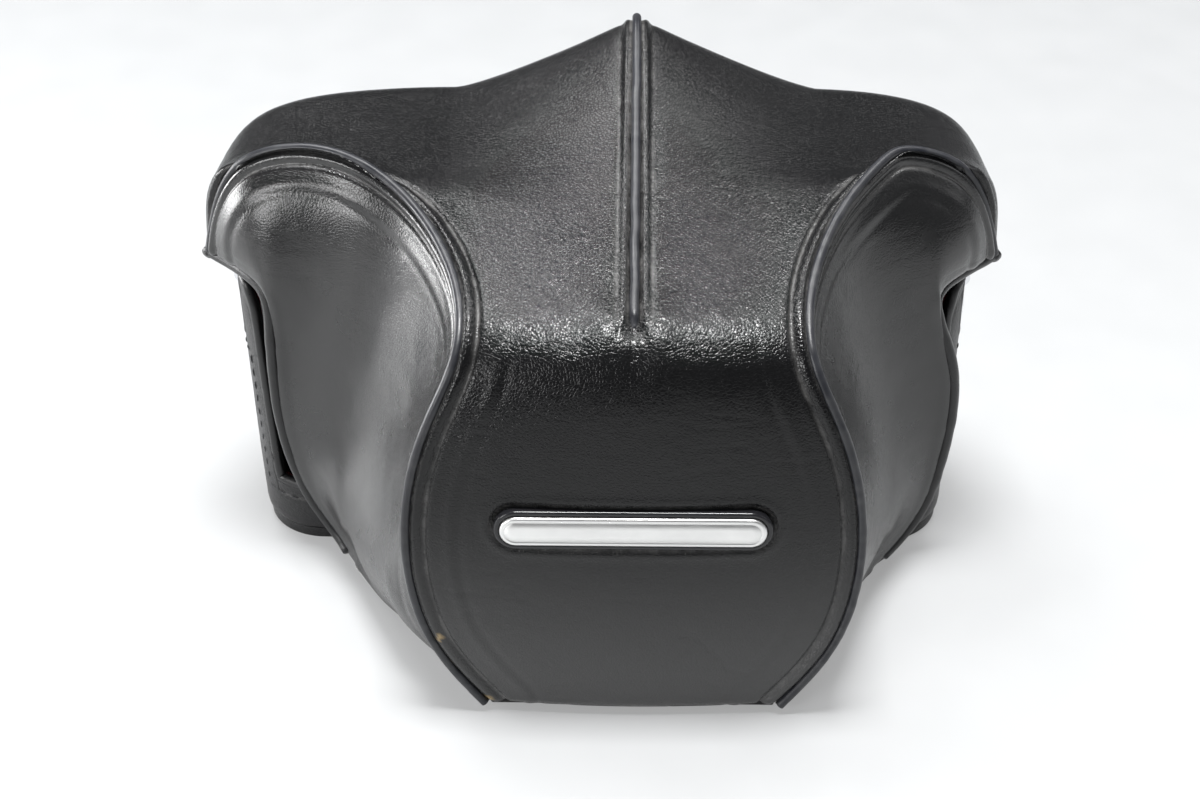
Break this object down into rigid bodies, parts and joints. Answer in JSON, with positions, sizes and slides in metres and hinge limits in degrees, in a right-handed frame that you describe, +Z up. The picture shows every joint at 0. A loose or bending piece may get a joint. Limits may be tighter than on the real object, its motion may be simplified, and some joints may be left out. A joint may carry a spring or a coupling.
{
  "type": "camera in leather case",
  "caption": "Reflex camera held in a moulded black leather ever-ready case: hinged front cover with a square nose, snap flap, half case with tripod screw.",
  "frame": {"origin": "mouth of the tripod socket in the case screw, on the plane of the lens axis, at the base", "axes": "+X to the right seen from the front of the lens, -Y out of the lens, +Z up"},
  "size_m": [0.146, 0.0941, 0.0969],
  "materials": {
    "cover_leather": "semi-gloss black grained leather",
    "piping_leather": "smooth black leather cord",
    "case_leather": "semi-gloss black grained leather",
    "velvet": "dark red velvet",
    "board": "raw fibre board",
    "badge_chrome": "satin chrome",
    "snap_metal": "black enamel",
    "screw_steel": "turned and nickel plated",
    "lug_chrome": "polished",
    "camera_casting": "satin black",
    "camera_black": "satin black",
    "camera_covering": "grained black covering",
    "optical_glass": "coated",
    "mirror_silver": "front silvered",
    "shutter_metal": "satin",
    "mount_steel": "turned",
    "lens_black": "semi-matt black",
    "ring_rubber": "ribbed",
    "control_chrome": "satin",
    "dial_black": "satin black",
    "spool_plastic": "moulded"
  },
  "bodies": {
    "half_case_and_camera": {"half_case_wall": "case_leather", "half_case_sole": "case_leather", "half_case_lining": "velvet", "base_board": "board", "floor_pad": "velvet", "sole_grommet": "screw_steel", "hinge_strap_rear": "case_leather", "hinge_rivets_rear": "snap_metal", "flap_anchor": "case_leather", "strap_lugs": "lug_chrome", "camera_chassis": "camera_casting", "body_leatherette": "camera_covering", "back_door": "camera_casting", "pressure_plate": "camera_black", "bottom_cover": "camera_casting", "tripod_bush": "screw_steel", "top_cover": "camera_black", "pentaprism": "optical_glass", "focusing_screen": "optical_glass", "mirror_box": "camera_black", "eyepiece_frame": "camera_black", "eyepiece_lens": "optical_glass", "lens_mount": "mount_steel", "lens_barrel": "lens_black", "rear_glass": "optical_glass", "iris_plate": "camera_black", "sync_socket": "shutter_metal", "plate_screws": "screw_steel"},
    "front_cover": {"cover_centre_panel": "cover_leather", "cover_side_left": "cover_leather", "cover_side_right": "cover_leather", "cover_bottom_panel": "cover_leather", "cover_lining": "velvet", "seam_piping_left": "piping_leather", "seam_piping_right": "piping_leather", "top_dart_piping": "piping_leather", "edge_binding_left": "piping_leather", "edge_binding_right": "piping_leather", "badge": "badge_chrome", "cover_snap_stud": "snap_metal", "hinge_strap_front": "case_leather", "hinge_rivets_front": "snap_metal"},
    "back_flap": {"rear_flap": "case_leather", "flap_snap_cap": "snap_metal"},
    "screw": {"case_screw": "screw_steel", "screw_clip": "screw_steel"},
    "ring_left": {"strap_ring_left": "lug_chrome"},
    "ring_right": {"strap_ring_right": "lug_chrome"},
    "mirror": {"reflex_mirror": "mirror_silver"},
    "shutter": {"rotary_shutter": "shutter_metal"},
    "aperture": {"aperture_ring": "lens_black"},
    "focus": {"focus_ring": "ring_rubber"},
    "lens_front": {"front_barrel": "lens_black", "front_glass": "optical_glass"},
    "button": {"shutter_button": "control_chrome"},
    "lever": {"advance_lever": "control_chrome"},
    "dial": {"speed_dial": "dial_black"},
    "rewind": {"rewind_knob": "control_chrome"},
    "spool": {"take_up_spool": "spool_plastic"},
    "sprocket": {"sprocket_drum": "shutter_metal"}
  },
  "joints": [
    {"name": "cover_hinge", "type": "hinge", "parent": "half_case_and_camera", "child": "front_cover", "pos_m": [0, -0.0215, 0.0011], "axis": [1, 0, 0], "range_deg": [0, 120]},
    {"name": "back_flap_hinge", "type": "hinge", "parent": "half_case_and_camera", "child": "back_flap", "pos_m": [0, 0.0225, 0.0602], "axis": [-1, 0, 0], "range_deg": [0, 150]},
    {"name": "case_screw_spin", "type": "hinge", "parent": "half_case_and_camera", "child": "screw", "pos_m": [0, 0, 0], "axis": [0, 0, -1], "continuous": true},
    {"name": "strap_ring_left_swing", "type": "hinge", "parent": "half_case_and_camera", "child": "ring_left", "pos_m": [-0.0735, -0.0045, 0.054], "axis": [0, 1, 0], "range_deg": [0, 70]},
    {"name": "strap_ring_right_swing", "type": "hinge", "parent": "half_case_and_camera", "child": "ring_right", "pos_m": [0.0605, -0.0045, 0.054], "axis": [0, -1, 0], "range_deg": [0, 70]},
    {"name": "mirror_flip", "type": "hinge", "parent": "half_case_and_camera", "child": "mirror", "pos_m": [0, 0.0042, 0.053], "axis": [-1, 0, 0], "range_deg": [0, 44]},
    {"name": "shutter_spin", "type": "hinge", "parent": "half_case_and_camera", "child": "shutter", "pos_m": [-0.011, 0.0089, 0.0375], "axis": [0, -1, 0], "continuous": true},
    {"name": "aperture_turn", "type": "hinge", "parent": "half_case_and_camera", "child": "aperture", "pos_m": [0, -0.0294, 0.0375], "axis": [0, -1, 0], "range_deg": [0, 60]},
    {"name": "focus_turn", "type": "hinge", "parent": "half_case_and_camera", "child": "focus", "pos_m": [0, -0.04, 0.0375], "axis": [0, -1, 0], "range_deg": [0, 110]},
    {"name": "focus_slide", "type": "slide", "parent": "half_case_and_camera", "child": "lens_front", "axis": [0, -1, 0], "range_m": [0, 0.003]},
    {"name": "shutter_button_press", "type": "slide", "parent": "half_case_and_camera", "child": "button", "axis": [0, 0, -1], "range_m": [0, 0.0014], "stiffness_N_per_m": 300, "springref_m": -0.001},
    {"name": "advance_lever_turn", "type": "hinge", "parent": "half_case_and_camera", "child": "lever", "pos_m": [-0.052, -0.002, 0.072], "axis": [0, 0, 1], "range_deg": [0, 60]},
    {"name": "speed_dial_turn", "type": "hinge", "parent": "half_case_and_camera", "child": "dial", "pos_m": [-0.034, -0.004, 0.072], "axis": [0, 0, 1], "range_deg": [-150, 150]},
    {"name": "rewind_turn", "type": "hinge", "parent": "half_case_and_camera", "child": "rewind", "pos_m": [0.045, 0, 0.072], "axis": [0, 0, 1], "continuous": true},
    {"name": "sprocket_turn", "type": "hinge", "parent": "half_case_and_camera", "child": "sprocket", "pos_m": [-0.041, 0.006, 0.034], "axis": [0, 0, 1], "range_deg": [0, 90]},
    {"name": "spool_turn", "type": "hinge", "parent": "half_case_and_camera", "child": "spool", "pos_m": [-0.058, 0, 0.034], "axis": [0, 0, 1], "range_deg": [0, 90]}
  ],
  "couplings": [
    {"joint": "focus_slide", "follows": "focus_turn", "m_per_rad": 0.0015625},
    {"joint": "sprocket_turn", "follows": "advance_lever_turn", "ratio": 1.385},
    {"joint": "spool_turn", "follows": "advance_lever_turn", "ratio": 1.2}
  ]
}
